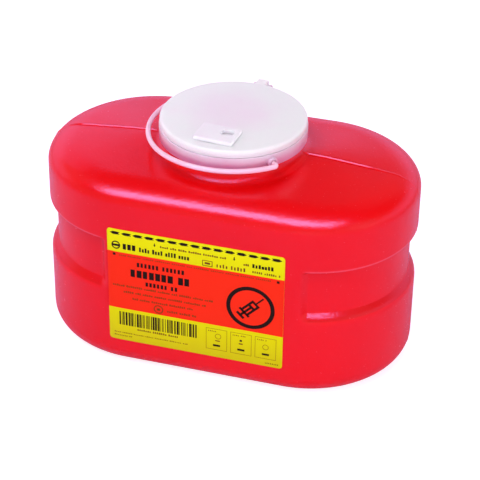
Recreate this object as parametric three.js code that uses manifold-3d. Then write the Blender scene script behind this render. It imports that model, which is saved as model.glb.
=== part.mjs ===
// Sharps container: a red blow-moulded oval collector with a white funnel cap, a hinged lid with a
// sliding lock, a bail carry handle and a front label. Millimetres, X along the length, Y to the
// back, Z up from the foot, with the origin under the middle of the body.
import * as THREE from 'three';
import { mergeVertices } from 'three/addons/utils/BufferGeometryUtils.js';
import Module from 'manifold-3d';

const wasm = await Module();
wasm.setup();

// ---- driving dimensions of the body ----
const LENGTH = 232;
const DEPTH = 131.4;
const WALL = 1.8;
const FOOT_RISE = 2; // how far the middle of the base stands off the table
const FOOT_WIDTH = 7;
const BASE_RADIUS = 12; // round edge between the side and the foot
const WAIST_DEPTH = 3.7; // grip recess round both ends
const WAIST_LOW = 54.6; // outer edge of the recess's lower ledge
const WAIST_FLOOR_LOW = 59.2;
const WAIST_FLOOR_HIGH = 87.4;
const WAIST_HIGH = 90; // outer edge of the recess's upper ledge
const WAIST_WALL_START = 8.8; // degrees round the end where the recess's upright wall starts
const WAIST_WALL_END = 13.8;
const SHOULDER_START = 114;
const SHOULDER_RISE = 12.1;
const SHOULDER_RUN = 19;
const SHOULDER_POWER = 2.1; // 2 is an ellipse, more is squarer
const CROWN_SLOPE = 0.097; // rise of the top per millimetre towards the middle line
const CROWN_SOFTNESS = 8;

// ---- driving dimensions of the neck and the cap, all on one upright axis ----
const NECK_RADIUS = 41;
const NECK_FILLET = 7.4;
const NECK_TOP = 146.3;
const NECK_BEAD = 1.4;
const NECK_BEAD_LOW = 141.9;
const NECK_BEAD_HIGH = 143.3;
const CAP_TURN = -5; // degrees that the cap is turned on the neck
const SKIRT_RADIUS = 45;
const SKIRT_BOTTOM = 139.2;
const SKIRT_TOP = 146;
const CAP_WALL = 1.6;
const DECK_TOP = 148.2;
const UPSTAND_RADIUS = 42.6;
const LID_RADIUS = 44.6;
const LID_BOTTOM = 146.3;
const LID_TOP = 150.8;
const LID_PLATE = 1.5;
const LID_EDGE = 1.8; // radius of the lid's top edge
const GAP = 0.3; // clearance between separate pieces
const EDGE = 0.4; // chamfer of the collar's edges
const SNAP_HEIGHT = 1.3; // the collar's ridge that snaps in under the neck's bead
const SNAP_CLEARANCE = 0.6;
const SEAT_DEPTH = 1.2; // seat of the funnel's flange in the deck
const LEDGE = { width: 1.2, thickness: 1.2, rib: 3.5 };

// ---- funnel, hinge, lock and handle ----
const FLANGE_RADIUS = 30;
const FLANGE_THICKNESS = 0.9;
const FLANGE_WIDTH = 2.8;
const THROAT_RADIUS = 22;
const THROAT_OFFSET = 6.5; // the throat sits towards the hinge
const THROAT_TOP = 133;
const CHUTE_BOTTOM = 124;
const FUNNEL_WALL = 1.2;
const LID_WALL = 1.4;
const PLUG = { radius: 26.2, wall: 1.2, depth: 2.5 }; // round lip under the lid, inside the funnel's mouth
const HINGE_REACH = 49.6;
const HINGE_HEIGHT = 145.3;
const HINGE_PIN_RADIUS = 1;
const KNUCKLE_RADIUS = 2.5;
const KNUCKLE_WIDTH = 7.4;
const EAR_WIDTH = 2.2;
const EAR_ROOT = { reach: 1.2, drop: 5 };
const EAR_ARC = { start: -25, end: 115 }; // degrees
const KNUCKLE_ROOT = { inside: 1.1, outside: 1.1, rise: 0.6 };
const KNUCKLE_TOP = 151.2;
const LOCK_SIZE = { width: 24.5, depth: 18, height: 2.4 };
const LOCK_PLACE = { across: 1, along: -28.5 };
const LOCK_TRAVEL = 3;
const LOCK_CORNER = 1.2;
const LOCK_WINDOW = { width: 7.5, depth: 6.5, across: 5.5, along: 2.3 };
const LOCK_LIFT = 0.2; // clearance between the lock and the lid
const STEM = { width: 3.2, depth: 2.2, along: -32.6 };
const LOCK_FOOT = { width: 6, low: 144.9, high: 146.1 };
const KEEPER_HEIGHT = 0.55;
const SLOT_ROOM = 0.4; // clearance round the lock's stem
const CUT = 6; // height of the blocks that cut the slots
const HANDLE_ANGLE = -43.6; // direction of the handle's pivot axis
const HANDLE_HEIGHT = 141.1;
const HANDLE_HALF_SPAN = 50.9;
const HANDLE_REACH = 52.1;
const HANDLE_POWER = 1.95;
const HANDLE_ROD_RADIUS = 1.5;
const HANDLE_BEND = 1.8;
const PIVOT_HOLE_RADIUS = HANDLE_ROD_RADIUS + GAP;
const PIVOT_BOSS_RADIUS = 3.2;
const PIVOT_BOSS_REACH = 2;
const LOOP_START = 4; // degrees of the half loop taken up by the bend at its end

// ---- label ----
const LABEL = { left: -58.6, right: 51.5, low: 19.1, high: 99.2, corner: 2, thickness: 0.3, lift: 0.05 };

const HALF_DEPTH = DEPTH / 2;
const END_CENTRE = (LENGTH - DEPTH) / 2;
const ROUND_STEPS = 48;

const degrees = (angle) => THREE.MathUtils.degToRad(angle);

// ---- mesh helpers ----

// Joins rings of equally many points into one closed skin. The first and last ring are closed by a fan.
function loft(rings) {
  const count = rings[0].length;
  const positions = rings.flat().flatMap((point) => [point.x, point.y, point.z]);
  const indices = [];
  for (let ring = 0; ring < rings.length - 1; ring += 1) {
    for (let step = 0; step < count; step += 1) {
      const next = (step + 1) % count;
      const a = ring * count + step;
      const b = ring * count + next;
      indices.push(a, b, b + count, a, b + count, a + count);
    }
  }
  const addFan = (ring, flip) => {
    const centre = new THREE.Vector3();
    rings[ring].forEach((point) => centre.addScaledVector(point, 1 / count));
    const hub = positions.length / 3;
    positions.push(centre.x, centre.y, centre.z);
    for (let step = 0; step < count; step += 1) {
      const a = ring * count + step;
      const b = ring * count + ((step + 1) % count);
      indices.push(hub, flip ? b : a, flip ? a : b);
    }
  };
  addFan(0, true);
  addFan(rings.length - 1, false);
  const geometry = new THREE.BufferGeometry();
  geometry.setAttribute('position', new THREE.Float32BufferAttribute(positions, 3));
  geometry.setIndex(indices);
  return geometry;
}

// Turns a closed geometry into a solid that can be joined and cut.
function solidOf(geometry) {
  const bare = geometry.clone();
  bare.deleteAttribute('normal');
  bare.deleteAttribute('uv');
  const merged = mergeVertices(bare, 1e-4);
  const corners = merged.index.array;
  const kept = [];
  for (let i = 0; i < corners.length; i += 3) {
    const [a, b, c] = [corners[i], corners[i + 1], corners[i + 2]];
    if (a !== b && b !== c && c !== a) kept.push(a, b, c);
  }
  return new wasm.Manifold(new wasm.Mesh({
    numProp: 3,
    vertProperties: Float32Array.from(merged.attributes.position.array),
    triVerts: Uint32Array.from(kept),
  }));
}

function geometryOf(solid) {
  const mesh = solid.getMesh();
  const geometry = new THREE.BufferGeometry();
  geometry.setAttribute('position', new THREE.BufferAttribute(mesh.vertProperties, 3));
  geometry.setIndex(new THREE.BufferAttribute(mesh.triVerts, 1));
  geometry.computeVertexNormals();
  return geometry;
}

// A body of revolution about Z. The profile lists [radius, height] and is closed or ends on the axis.
function turned(profile, steps = ROUND_STEPS) {
  const points = profile.map(([radius, height]) => new THREE.Vector2(radius, height));
  const geometry = new THREE.LatheGeometry(points, steps);
  geometry.rotateX(Math.PI / 2);
  return outward(geometry);
}

// Flips a geometry whose faces point in.
function outward(geometry) {
  const solid = solidOf(geometry);
  if (solid.volume() > 0) return solid;
  const flipped = geometry.clone();
  const corners = flipped.index.array;
  for (let i = 0; i < corners.length; i += 3) {
    [corners[i + 1], corners[i + 2]] = [corners[i + 2], corners[i + 1]];
  }
  return solidOf(flipped);
}

function box(width, depth, height, x, y, z) {
  return solidOf(new THREE.BoxGeometry(width, depth, height).translate(x, y, z));
}

// A cylinder whose axis runs out from the cap's axis in the given direction.
function radialCylinder(radius, from, to, direction, height, steps) {
  const geometry = new THREE.CylinderGeometry(radius, radius, to - from, steps);
  geometry.rotateZ(Math.PI / 2);
  geometry.translate((from + to) / 2, 0, height);
  geometry.rotateZ(degrees(direction));
  return solidOf(geometry);
}

// An outline in the (Y, Z) plane given width along X, centred on x.
function acrossPlate(shape, width, x, curveSegments = 8) {
  const geometry = new THREE.ExtrudeGeometry(shape, { depth: width, bevelEnabled: false, curveSegments });
  geometry.rotateX(Math.PI / 2);
  geometry.rotateZ(Math.PI / 2);
  geometry.translate(x - width / 2, 0, 0);
  return outward(geometry);
}

// ---- body shell ----

// A station is a direction in which the oval outline is measured: the outline point at an inset is
// centre + (HALF_DEPTH - inset) * direction.
function outlineStations() {
  const endSteps = 7;
  const quarter = [0, WAIST_WALL_START];
  for (let step = 0; step <= endSteps; step += 1) {
    quarter.push(WAIST_WALL_END + ((90 - WAIST_WALL_END) * step) / endSteps);
  }
  const firstHalf = quarter.map((angle) => angle - 90);
  const halfTurn = [...firstHalf, ...firstHalf.slice(0, -1).reverse().map((angle) => -angle)];
  const straightSteps = 10;
  const stations = [];
  for (const side of [1, -1]) {
    for (const angle of halfTurn) {
      stations.push({ centre: side * END_CENTRE, angle: side > 0 ? angle : angle + 180 });
    }
    for (let step = 1; step < straightSteps; step += 1) {
      const along = END_CENTRE * (1 - (2 * step) / straightSteps);
      stations.push({ centre: side * along, angle: side * 90 });
    }
  }
  return stations;
}

function outlinePoint(station, inset, z = 0) {
  const reach = HALF_DEPTH - inset;
  const angle = degrees(station.angle);
  return new THREE.Vector3(station.centre + reach * Math.cos(angle), reach * Math.sin(angle), z);
}

// True where the grip recess is at its full depth, false on the flat front and back.
function isWaist(station) {
  const waistStarts = (WAIST_WALL_START + WAIST_WALL_END) / 2;
  return Math.abs(Math.sin(degrees(station.angle))) < Math.cos(degrees(waistStarts));
}

// Height of the top surface, made of a round shoulder, a gentle crown and the fillet of the neck.
// The inner surface is the same surface one wall lower.
function topHeight(x, y, wall) {
  const alongAxis = Math.max(Math.abs(x) - END_CENTRE, 0);
  const distance = Math.hypot(alongAxis, y);
  const inset = HALF_DEPTH - distance;
  const run = SHOULDER_RUN - wall;
  const left = THREE.MathUtils.clamp(1 - (inset - wall) / run, 0, 1);
  const shoulder = (SHOULDER_RISE - wall) * (1 - left ** SHOULDER_POWER) ** (1 / SHOULDER_POWER);
  const crown = CROWN_SLOPE * (HALF_DEPTH - Math.hypot(distance, CROWN_SOFTNESS));
  const filletRadius = NECK_FILLET + wall;
  const share = THREE.MathUtils.clamp((Math.hypot(x, y) - NECK_RADIUS + wall) / filletRadius, 0, 1);
  const fillet = filletRadius * (1 - Math.sqrt(1 - (1 - share) ** 2));
  return SHOULDER_START + shoulder + crown + fillet;
}

// Shifts a profile of [inset, height] points inwards by the wall thickness.
function offsetProfile(profile, distance) {
  const normals = [];
  for (let i = 0; i < profile.length - 1; i += 1) {
    const run = profile[i + 1][0] - profile[i][0];
    const rise = profile[i + 1][1] - profile[i][1];
    const size = Math.hypot(run, rise);
    normals.push([rise / size, -run / size]);
  }
  return profile.map(([inset, height], i) => {
    const before = normals[Math.max(i - 1, 0)];
    const after = normals[Math.min(i, normals.length - 1)];
    const scale = distance / (1 + before[0] * after[0] + before[1] * after[1]);
    return [inset + (before[0] + after[0]) * scale, height + (before[1] + after[1]) * scale];
  });
}

// The side profile from the middle of the base up to the shoulder, with or without the grip recess.
function sideProfile(recess, roundSteps) {
  const profile = [[BASE_RADIUS + FOOT_WIDTH + 1.5, FOOT_RISE], [BASE_RADIUS + FOOT_WIDTH, 0]];
  for (let step = 0; step <= roundSteps; step += 1) {
    const turn = degrees((90 * step) / roundSteps);
    profile.push([BASE_RADIUS * (1 - Math.sin(turn)), BASE_RADIUS * (1 - Math.cos(turn))]);
  }
  profile.push([0, WAIST_LOW], [recess, WAIST_FLOOR_LOW], [recess, WAIST_FLOOR_HIGH], [0, WAIST_HIGH]);
  profile.push([0, SHOULDER_START - 0.5]);
  return profile;
}

function sideRings(stations, wall, roundSteps) {
  const shift = (profile) => (wall > 0 ? offsetProfile(profile, wall) : profile);
  const panel = shift(sideProfile(0, roundSteps));
  const waist = shift(sideProfile(WAIST_DEPTH, roundSteps));
  return panel.map((unused, i) => stations.map((station) => {
    const [inset, height] = isWaist(station) ? waist[i] : [panel[i][0], waist[i][1]];
    return outlinePoint(station, inset, height);
  }));
}

// Rings from the shoulder in to the neck.
function topRings(stations, wall, shoulderTurns, spreads, filletShares) {
  const run = SHOULDER_RUN - wall;
  const rings = shoulderTurns.map((turn) => {
    const inset = wall + run * (1 - Math.cos(degrees(turn)));
    return stations.map((station) => outlinePoint(station, inset));
  });
  const rim = rings[rings.length - 1];
  const ringAt = (radius) => rim.map((point) => {
    const angle = Math.atan2(point.y, point.x);
    return new THREE.Vector3(radius * Math.cos(angle), radius * Math.sin(angle), 0);
  });
  const filletEdge = ringAt(NECK_RADIUS + NECK_FILLET);
  spreads.forEach((share) => {
    rings.push(rim.map((point, i) => point.clone().lerp(filletEdge[i], share)));
  });
  filletShares.forEach((share) => {
    rings.push(ringAt(NECK_RADIUS - wall + (NECK_FILLET + wall) * share));
  });
  rings.flat().forEach((point) => {
    point.z = topHeight(point.x, point.y, wall);
  });
  return { rings, ringAt };
}

function bodyShell() {
  const stations = outlineStations();
  const outer = sideRings(stations, 0, 4);
  const outerTop = topRings(stations, 0, [22, 42, 62], [0.15, 0.5, 1], [0.6, 0.3, 0.1, 0]);
  outer.push(...outerTop.rings);
  const neckRing = (radius, z) => outerTop.ringAt(radius).map((point) => point.setZ(z));
  const neck = [
    [NECK_RADIUS, NECK_BEAD_LOW],
    [NECK_RADIUS + NECK_BEAD, NECK_BEAD_LOW + 0.3],
    [NECK_RADIUS + NECK_BEAD, NECK_BEAD_HIGH],
    [NECK_RADIUS, NECK_BEAD_HIGH + 1],
    [NECK_RADIUS, NECK_TOP],
    [NECK_RADIUS - WALL, NECK_TOP],
  ].map(([radius, z]) => neckRing(radius, z));
  const inner = sideRings(stations, WALL, 2);
  inner.push(...topRings(stations, WALL, [30, 62], [0.2, 1], [0.5, 0]).rings);
  return outward(loft([...outer, ...neck, ...inner.reverse()]));
}

// ---- label: a thin sheet that follows the front and wraps a little way round the left end ----
function frontLabel() {
  const columns = [];
  const cornerSteps = 3;
  for (let step = 0; step <= cornerSteps; step += 1) {
    const turn = degrees((90 * step) / cornerSteps);
    columns.push([LABEL.corner * (1 - Math.cos(turn)), LABEL.corner * (1 - Math.sin(turn))]);
  }
  const places = columns.map(([run, cut]) => [LABEL.left + run, cut]);
  places.push([-END_CENTRE - 4, 0], [-END_CENTRE, 0]);
  places.push(...columns.map(([run, cut]) => [LABEL.right - run, cut]).reverse());
  const frontAt = (x, lift) => {
    const past = Math.max(Math.abs(x) - END_CENTRE, 0);
    return -Math.sqrt((HALF_DEPTH + lift) ** 2 - past ** 2);
  };
  const rings = places.map(([x, cut]) => {
    const back = frontAt(x, LABEL.lift);
    const front = frontAt(x, LABEL.lift + LABEL.thickness);
    return [
      new THREE.Vector3(x, front, LABEL.low + cut),
      new THREE.Vector3(x, back, LABEL.low + cut),
      new THREE.Vector3(x, back, LABEL.high - cut),
      new THREE.Vector3(x, front, LABEL.high - cut),
    ];
  });
  return outward(loft(rings));
}

// ---- cap, in its own frame: X across, Y towards the hinge ----

// Outline of a hinge leaf in the (Y, Z) plane: a round eye at the pin with a root at the cap's wall.
function earShape() {
  const root = SKIRT_RADIUS - EAR_ROOT.reach;
  const foot = HINGE_HEIGHT - EAR_ROOT.drop;
  const start = degrees(EAR_ARC.start);
  const shape = new THREE.Shape();
  shape.moveTo(root, foot);
  shape.lineTo(SKIRT_RADIUS + EAR_ROOT.reach, foot);
  shape.lineTo(
    HINGE_REACH + KNUCKLE_RADIUS * Math.cos(start),
    HINGE_HEIGHT + KNUCKLE_RADIUS * Math.sin(start),
  );
  shape.absarc(HINGE_REACH, HINGE_HEIGHT, KNUCKLE_RADIUS, start, degrees(EAR_ARC.end), false);
  shape.lineTo(root, HINGE_HEIGHT + GAP);
  shape.closePath();
  return shape;
}

// Outline of the lid's knuckle, which reaches down over the collar's edge to the pin.
function knuckleShape() {
  const root = LID_RADIUS - KNUCKLE_ROOT.inside;
  const under = LID_BOTTOM + KNUCKLE_ROOT.rise;
  const front = HINGE_REACH - KNUCKLE_RADIUS;
  const shoulder = KNUCKLE_TOP - KNUCKLE_RADIUS;
  const shape = new THREE.Shape();
  shape.moveTo(root, under);
  shape.lineTo(LID_RADIUS + KNUCKLE_ROOT.outside, under);
  shape.lineTo(front, HINGE_HEIGHT + KNUCKLE_ROOT.rise);
  shape.lineTo(front, HINGE_HEIGHT);
  shape.absarc(HINGE_REACH, HINGE_HEIGHT, KNUCKLE_RADIUS, Math.PI, 2 * Math.PI, false);
  shape.lineTo(HINGE_REACH + KNUCKLE_RADIUS, shoulder);
  shape.absarc(HINGE_REACH, shoulder, KNUCKLE_RADIUS, 0, Math.PI / 2, false);
  shape.lineTo(root, KNUCKLE_TOP);
  shape.closePath();
  return shape;
}

function hingeBar(radius, width) {
  const geometry = new THREE.CylinderGeometry(radius, radius, width, 14);
  geometry.rotateZ(Math.PI / 2);
  geometry.translate(0, HINGE_REACH, HINGE_HEIGHT);
  return solidOf(geometry);
}

function capCollar() {
  const inside = SKIRT_RADIUS - CAP_WALL;
  const deckUnder = DECK_TOP - CAP_WALL;
  const throughNeck = NECK_RADIUS + GAP;
  const snap = NECK_RADIUS + SNAP_CLEARANCE;
  const snapTop = NECK_BEAD_LOW - GAP;
  const seat = FLANGE_RADIUS + GAP;
  const seatFloor = DECK_TOP - SEAT_DEPTH;
  const ledge = FLANGE_RADIUS - LEDGE.width;
  const ledgeUnder = seatFloor - LEDGE.thickness;
  let collar = turned([
    [SKIRT_RADIUS, SKIRT_BOTTOM],
    [SKIRT_RADIUS, SKIRT_TOP - EDGE],
    [SKIRT_RADIUS - EDGE, SKIRT_TOP],
    [UPSTAND_RADIUS, SKIRT_TOP],
    [UPSTAND_RADIUS, DECK_TOP - EDGE],
    [UPSTAND_RADIUS - EDGE, DECK_TOP],
    [seat, DECK_TOP],
    [seat, seatFloor],
    [ledge, seatFloor],
    [ledge, ledgeUnder],
    [seat + LEDGE.rib, ledgeUnder],
    [seat + LEDGE.rib + deckUnder - ledgeUnder, deckUnder],
    [throughNeck, deckUnder],
    [throughNeck, SKIRT_TOP - 1],
    [inside, SKIRT_TOP - 1 - (inside - throughNeck) / 2],
    [inside, snapTop + (inside - snap) / 2],
    [snap, snapTop],
    [snap, snapTop - SNAP_HEIGHT],
    [inside, SKIRT_BOTTOM],
    [SKIRT_RADIUS, SKIRT_BOTTOM],
  ]);
  const earOffset = KNUCKLE_WIDTH / 2 + GAP + EAR_WIDTH / 2;
  for (const side of [1, -1]) {
    collar = collar.add(acrossPlate(earShape(), EAR_WIDTH, side * earOffset));
  }
  collar = collar.subtract(hingeBar(HINGE_PIN_RADIUS + GAP, 2 * earOffset + EAR_WIDTH + 1));
  for (const direction of [HANDLE_ANGLE - CAP_TURN, HANDLE_ANGLE - CAP_TURN + 180]) {
    const bossEnd = SKIRT_RADIUS + PIVOT_BOSS_REACH;
    const boss = radialCylinder(PIVOT_BOSS_RADIUS, inside + 0.1, bossEnd, direction, HANDLE_HEIGHT, 20);
    const hole = radialCylinder(PIVOT_HOLE_RADIUS, NECK_RADIUS, bossEnd + 1, direction, HANDLE_HEIGHT, 14);
    collar = collar.add(boss).subtract(hole);
  }
  const stemWay = STEM.width + 2 * SLOT_ROOM;
  const depth = STEM.depth + 2 * SLOT_ROOM;
  const locked = STEM.along - LOCK_TRAVEL;
  const height = DECK_TOP - CUT / 3;
  const wide = box(LOCK_FOOT.width + 2 * SLOT_ROOM, depth, CUT, LOCK_PLACE.across, STEM.along, height);
  const narrow = box(stemWay, depth, CUT, LOCK_PLACE.across, locked, height);
  const joining = box(stemWay, LOCK_TRAVEL, CUT, LOCK_PLACE.across, (STEM.along + locked) / 2, height);
  return collar.subtract(wide).subtract(narrow).subtract(joining);
}

// The funnel hangs in the collar and narrows to an off-centre throat with a short chute.
function funnelChute() {
  const steps = 40;
  const ring = (radius, z, offset) => Array.from({ length: steps }, (unused, i) => {
    const turn = (2 * Math.PI * i) / steps;
    return new THREE.Vector3(radius * Math.cos(turn), offset + radius * Math.sin(turn), z);
  });
  const mouth = FLANGE_RADIUS - FLANGE_WIDTH;
  const flangeUnder = DECK_TOP - FLANGE_THICKNESS;
  const outside = loft([
    ring(THROAT_RADIUS + FUNNEL_WALL, CHUTE_BOTTOM, THROAT_OFFSET),
    ring(THROAT_RADIUS + FUNNEL_WALL, THROAT_TOP, THROAT_OFFSET),
    ring(mouth + FUNNEL_WALL, flangeUnder, 0),
    ring(FLANGE_RADIUS, flangeUnder, 0),
    ring(FLANGE_RADIUS, DECK_TOP, 0),
  ]);
  const inside = loft([
    ring(THROAT_RADIUS, CHUTE_BOTTOM - 1, THROAT_OFFSET),
    ring(THROAT_RADIUS, THROAT_TOP, THROAT_OFFSET),
    ring(mouth, flangeUnder, 0),
    ring(mouth, DECK_TOP + 1, 0),
  ]);
  return outward(outside).subtract(outward(inside));
}

function lid() {
  const under = LID_TOP - LID_PLATE;
  const plugUnder = under - PLUG.depth;
  const plugInside = PLUG.radius - PLUG.wall;
  const rimInside = LID_RADIUS - LID_WALL;
  const profile = [[0, LID_TOP]];
  for (const turn of [90, 60, 30, 0]) {
    const reach = LID_EDGE * Math.cos(degrees(turn));
    profile.push([LID_RADIUS - LID_EDGE + reach, LID_TOP - LID_EDGE + LID_EDGE * Math.sin(degrees(turn))]);
  }
  profile.push([LID_RADIUS, LID_BOTTOM], [rimInside, LID_BOTTOM], [rimInside, under]);
  profile.push([PLUG.radius, under], [PLUG.radius, plugUnder]);
  profile.push([plugInside, plugUnder], [plugInside, under], [0, under]);
  const slotLength = STEM.depth + LOCK_TRAVEL + 2 * SLOT_ROOM;
  const slotMiddle = STEM.along - LOCK_TRAVEL / 2;
  const slot = box(STEM.width + 2 * SLOT_ROOM, slotLength, CUT, LOCK_PLACE.across, slotMiddle, LID_TOP);
  return turned(profile.reverse())
    .add(acrossPlate(knuckleShape(), KNUCKLE_WIDTH, 0))
    .subtract(hingeBar(HINGE_PIN_RADIUS + GAP, KNUCKLE_WIDTH + 1))
    .subtract(slot);
}

function lidHingePin() {
  return hingeBar(HINGE_PIN_RADIUS, KNUCKLE_WIDTH + 2 * (GAP + EAR_WIDTH));
}

// An outline of a rectangle with round corners, centred on the origin.
function roundedRectangle(width, depth, corner) {
  const [x, y] = [width / 2, depth / 2];
  const outline = new THREE.Shape();
  outline.moveTo(-x + corner, -y);
  outline.lineTo(x - corner, -y);
  outline.quadraticCurveTo(x, -y, x, -y + corner);
  outline.lineTo(x, y - corner);
  outline.quadraticCurveTo(x, y, x - corner, y);
  outline.lineTo(-x + corner, y);
  outline.quadraticCurveTo(-x, y, -x, y - corner);
  outline.lineTo(-x, -y + corner);
  outline.quadraticCurveTo(-x, -y, -x + corner, -y);
  return outline;
}

// The lock is a block with a window, on a stem that ends in a foot under the collar's deck. A
// keeper above the deck holds it to the lid.
function lockSlide() {
  const low = LID_TOP + LOCK_LIFT;
  const { width, depth, height } = LOCK_SIZE;
  const { across, along } = LOCK_PLACE;
  const outline = roundedRectangle(width, depth, LOCK_CORNER);
  const plate = new THREE.ExtrudeGeometry(outline, { depth: height, bevelEnabled: false, curveSegments: 3 });
  plate.translate(across, along, low);
  const middle = low + height / 2;
  const window = box(LOCK_WINDOW.width, LOCK_WINDOW.depth, height + 2,
    across + LOCK_WINDOW.across, along + LOCK_WINDOW.along, middle);
  const levelBox = (boxWidth, from, to) => (
    box(boxWidth, STEM.depth, to - from, across, STEM.along, (from + to) / 2)
  );
  const keeperLow = DECK_TOP + GAP;
  return outward(plate)
    .subtract(window)
    .add(levelBox(STEM.width, LOCK_FOOT.low, low + height / 4))
    .add(levelBox(LOCK_FOOT.width, LOCK_FOOT.low, LOCK_FOOT.high))
    .add(levelBox(LOCK_FOOT.width, keeperLow, keeperLow + KEEPER_HEIGHT));
}

// The handle is one rod: a wide half loop in a level plane whose ends turn in to two pivot pegs.
function carryHandle() {
  const points = [];
  const pegEnd = SKIRT_RADIUS - CAP_WALL + 0.5;
  points.push([pegEnd, 0], [(pegEnd + HANDLE_HALF_SPAN) / 2, 0]);
  for (const turn of [-90, -60, -30, 0]) {
    const bend = degrees(turn);
    const centre = HANDLE_HALF_SPAN - HANDLE_BEND;
    points.push([centre + HANDLE_BEND * Math.cos(bend), HANDLE_BEND + HANDLE_BEND * Math.sin(bend)]);
  }
  const loopSteps = 26;
  for (let step = 1; step <= loopSteps / 2; step += 1) {
    const turn = degrees(LOOP_START + ((90 - LOOP_START) * step) / (loopSteps / 2));
    points.push([
      HANDLE_HALF_SPAN * Math.cos(turn) ** (2 / HANDLE_POWER),
      HANDLE_REACH * Math.sin(turn) ** (2 / HANDLE_POWER),
    ]);
  }
  const mirrored = points.slice(0, -1).reverse().map(([across, out]) => [-across, out]);
  const route = [...points, ...mirrored].map(([across, out]) => new THREE.Vector3(across, -out, 0));
  const section = new THREE.Shape();
  section.absarc(0, 0, HANDLE_ROD_RADIUS, 0, 2 * Math.PI);
  const geometry = new THREE.ExtrudeGeometry(section, {
    steps: 64,
    curveSegments: 5,
    bevelEnabled: false,
    extrudePath: new THREE.CatmullRomCurve3(route, false, 'centripetal'),
  });
  geometry.rotateZ(degrees(HANDLE_ANGLE));
  geometry.translate(0, 0, HANDLE_HEIGHT);
  return outward(geometry);
}

// ---- assembly ----
const redShell = new THREE.MeshStandardMaterial({ color: 0xe0222c, roughness: 0.42, metalness: 0 });
const labelPaper = new THREE.MeshStandardMaterial({ color: 0xe8d820, roughness: 0.45, metalness: 0 });
const whiteCap = new THREE.MeshStandardMaterial({ color: 0xf0e8ee, roughness: 0.38, metalness: 0 });
const clearHandle = new THREE.MeshStandardMaterial({ color: 0xf3dbe8, roughness: 0.34, metalness: 0 });

function place(parent, name, solid, material) {
  const mesh = new THREE.Mesh(geometryOf(solid), material);
  mesh.name = name;
  parent.add(mesh);
}

const container = new THREE.Group();
place(container, 'body_shell', bodyShell(), redShell);
place(container, 'front_label', frontLabel(), labelPaper);
place(container, 'carry_handle', carryHandle(), clearHandle);

const cap = new THREE.Group();
cap.rotation.z = degrees(CAP_TURN);
place(cap, 'cap_collar', capCollar(), whiteCap);
place(cap, 'funnel_chute', funnelChute(), whiteCap);
place(cap, 'lid', lid(), whiteCap);
place(cap, 'lid_hinge_pin', lidHingePin(), whiteCap);
place(cap, 'lock_slide', lockSlide(), whiteCap);
container.add(cap);

export default container;
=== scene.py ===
import math
import random

import bmesh
import bpy
from mathutils import Matrix, Vector


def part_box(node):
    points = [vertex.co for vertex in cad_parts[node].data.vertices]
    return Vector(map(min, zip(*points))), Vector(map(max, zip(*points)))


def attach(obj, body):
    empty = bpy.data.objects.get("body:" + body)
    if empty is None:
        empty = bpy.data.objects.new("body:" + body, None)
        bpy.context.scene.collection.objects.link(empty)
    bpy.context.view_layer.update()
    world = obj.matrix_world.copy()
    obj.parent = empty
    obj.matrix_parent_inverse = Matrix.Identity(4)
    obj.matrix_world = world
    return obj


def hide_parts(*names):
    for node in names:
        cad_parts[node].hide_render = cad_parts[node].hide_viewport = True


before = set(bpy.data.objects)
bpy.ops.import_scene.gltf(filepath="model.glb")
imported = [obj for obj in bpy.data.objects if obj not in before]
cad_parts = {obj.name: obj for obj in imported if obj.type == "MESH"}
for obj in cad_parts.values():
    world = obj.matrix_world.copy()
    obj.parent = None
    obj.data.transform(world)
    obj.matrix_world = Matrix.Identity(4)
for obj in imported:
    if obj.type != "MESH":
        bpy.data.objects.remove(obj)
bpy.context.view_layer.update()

MM = 0.001

# ---- body ----
SHELL_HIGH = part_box("body_shell")[1] / MM
HALF_DEPTH = SHELL_HIGH.y
END_CENTRE = SHELL_HIGH.x - HALF_DEPTH
WALL = 1.8
FOOT_RISE = 2
FOOT_WIDTH = 7
BASE_RADIUS = 12
WAIST_DEPTH = 4.3
WAIST_LOW = 54.7
WAIST_FLOOR_LOW = 59.2
WAIST_FLOOR_HIGH = 87.4
WAIST_HIGH = 90
WAIST_WALL = (8.2, 13.6)  # degrees round the end over which the grip recess reaches its depth
SHOULDER_START = 114
SHOULDER_RISE = 12.1
SHOULDER_RUN = 19
SHOULDER_POWER = 2.1
SHOULDER_TURN = 62  # degrees of the shoulder's curve before the rings spread towards the neck
CROWN_SLOPE = 0.097
CROWN_SOFTNESS = 8
SEAM_WIDTH = 0.8  # half width of the mould's parting line
SEAM_HEIGHT = 0.75
SEAM_LEFT_FADE = (98, 106, 0.55)  # distances from the middle between which it weakens, and by how much
SEAM_RIGHT_FADE = (85, 94, 0.8)

# ---- neck and cap ----
NECK_RADIUS = 41
NECK_FILLET = 7.4
NECK_TOP = SHELL_HIGH.z
NECK_BEAD = 1.4
CAP_TURN = math.radians(-5)
SKIRT_RADIUS = 45
SKIRT_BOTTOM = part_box("cap_collar")[0].z / MM
SKIRT_TOP = 146
CAP_WALL = 1.6
DECK_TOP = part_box("funnel_chute")[1].z / MM
UPSTAND_RADIUS = 42.6
LID_RADIUS = 44.6
LID_BOTTOM = 146.3
LID_TOP = 150.8
LID_PLATE = 1.5
GAP = 0.3

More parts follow.
